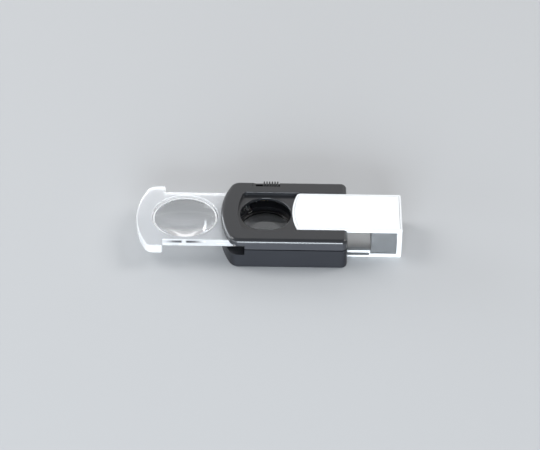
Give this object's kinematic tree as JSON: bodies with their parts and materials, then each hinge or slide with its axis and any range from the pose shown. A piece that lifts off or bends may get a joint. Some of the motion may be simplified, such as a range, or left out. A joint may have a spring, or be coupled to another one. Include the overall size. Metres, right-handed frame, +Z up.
{
  "type": "illuminated pocket loupe",
  "caption": "Pocket loupe with a lens slide, a guard sleeve, a fixed lens, a lamp and a ribbed switch, shown pulled out at both ends.",
  "frame": {"origin": "centre of the object's base on the surface it lies on, with both slides pulled out", "axes": "+X along the object towards the sleeve's end, +Y towards the switch, +Z up from the table"},
  "size_m": [0.101, 0.036, 0.0132],
  "materials": {
    "black_shell": "satin moulded black plastic",
    "black_inner": "fine matt black plastic",
    "clear_acrylic": "polished clear acrylic",
    "lens_acrylic": "polished clear acrylic lens",
    "lens_glass": "polished lens glass",
    "white_plate": "smooth white plate, bare",
    "lamp_resin": "clear lamp resin",
    "tinned_steel": "plated steel",
    "cell_steel": "bright nickel plated steel",
    "contact_brass": "bright spring brass",
    "red_wire": "red wire insulation",
    "black_wire": "black wire insulation"
  },
  "bodies": {
    "case": {"bottom_case": "black_shell", "top_cover": "black_shell", "fixed_lens": "lens_glass", "lens_ring": "black_inner", "lamp": "lamp_resin", "lamp_lead_switch": "tinned_steel", "lamp_lead_battery": "tinned_steel", "wire_positive": "red_wire", "wire_negative": "black_wire", "contact_strip_lamp": "contact_brass", "contact_strip_battery": "contact_brass", "battery_contact": "contact_brass", "battery_spring": "contact_brass", "battery_lid": "black_inner", "button_cell_1": "cell_steel", "button_cell_2": "cell_steel", "button_cell_3": "cell_steel", "case_screw_1": "tinned_steel", "case_screw_2": "tinned_steel", "case_screw_3": "tinned_steel", "case_screw_4": "tinned_steel"},
    "slide": {"lens_slide": "clear_acrylic", "slide_lens": "lens_acrylic"},
    "guard": {"sleeve": "clear_acrylic", "sleeve_plate": "white_plate"},
    "knob": {"switch_knob": "black_inner", "switch_blade": "contact_brass"}
  },
  "joints": [
    {"name": "lens_slide_travel", "type": "slide", "parent": "case", "child": "slide", "axis": [1, 0, 0], "range_m": [0, 0.0307]},
    {"name": "sleeve_travel", "type": "slide", "parent": "case", "child": "guard", "axis": [-1, 0, 0], "range_m": [0, 0.02035]},
    {"name": "switch_travel", "type": "slide", "parent": "case", "child": "knob", "axis": [-1, 0, 0], "range_m": [0, 0.0024]}
  ]
}
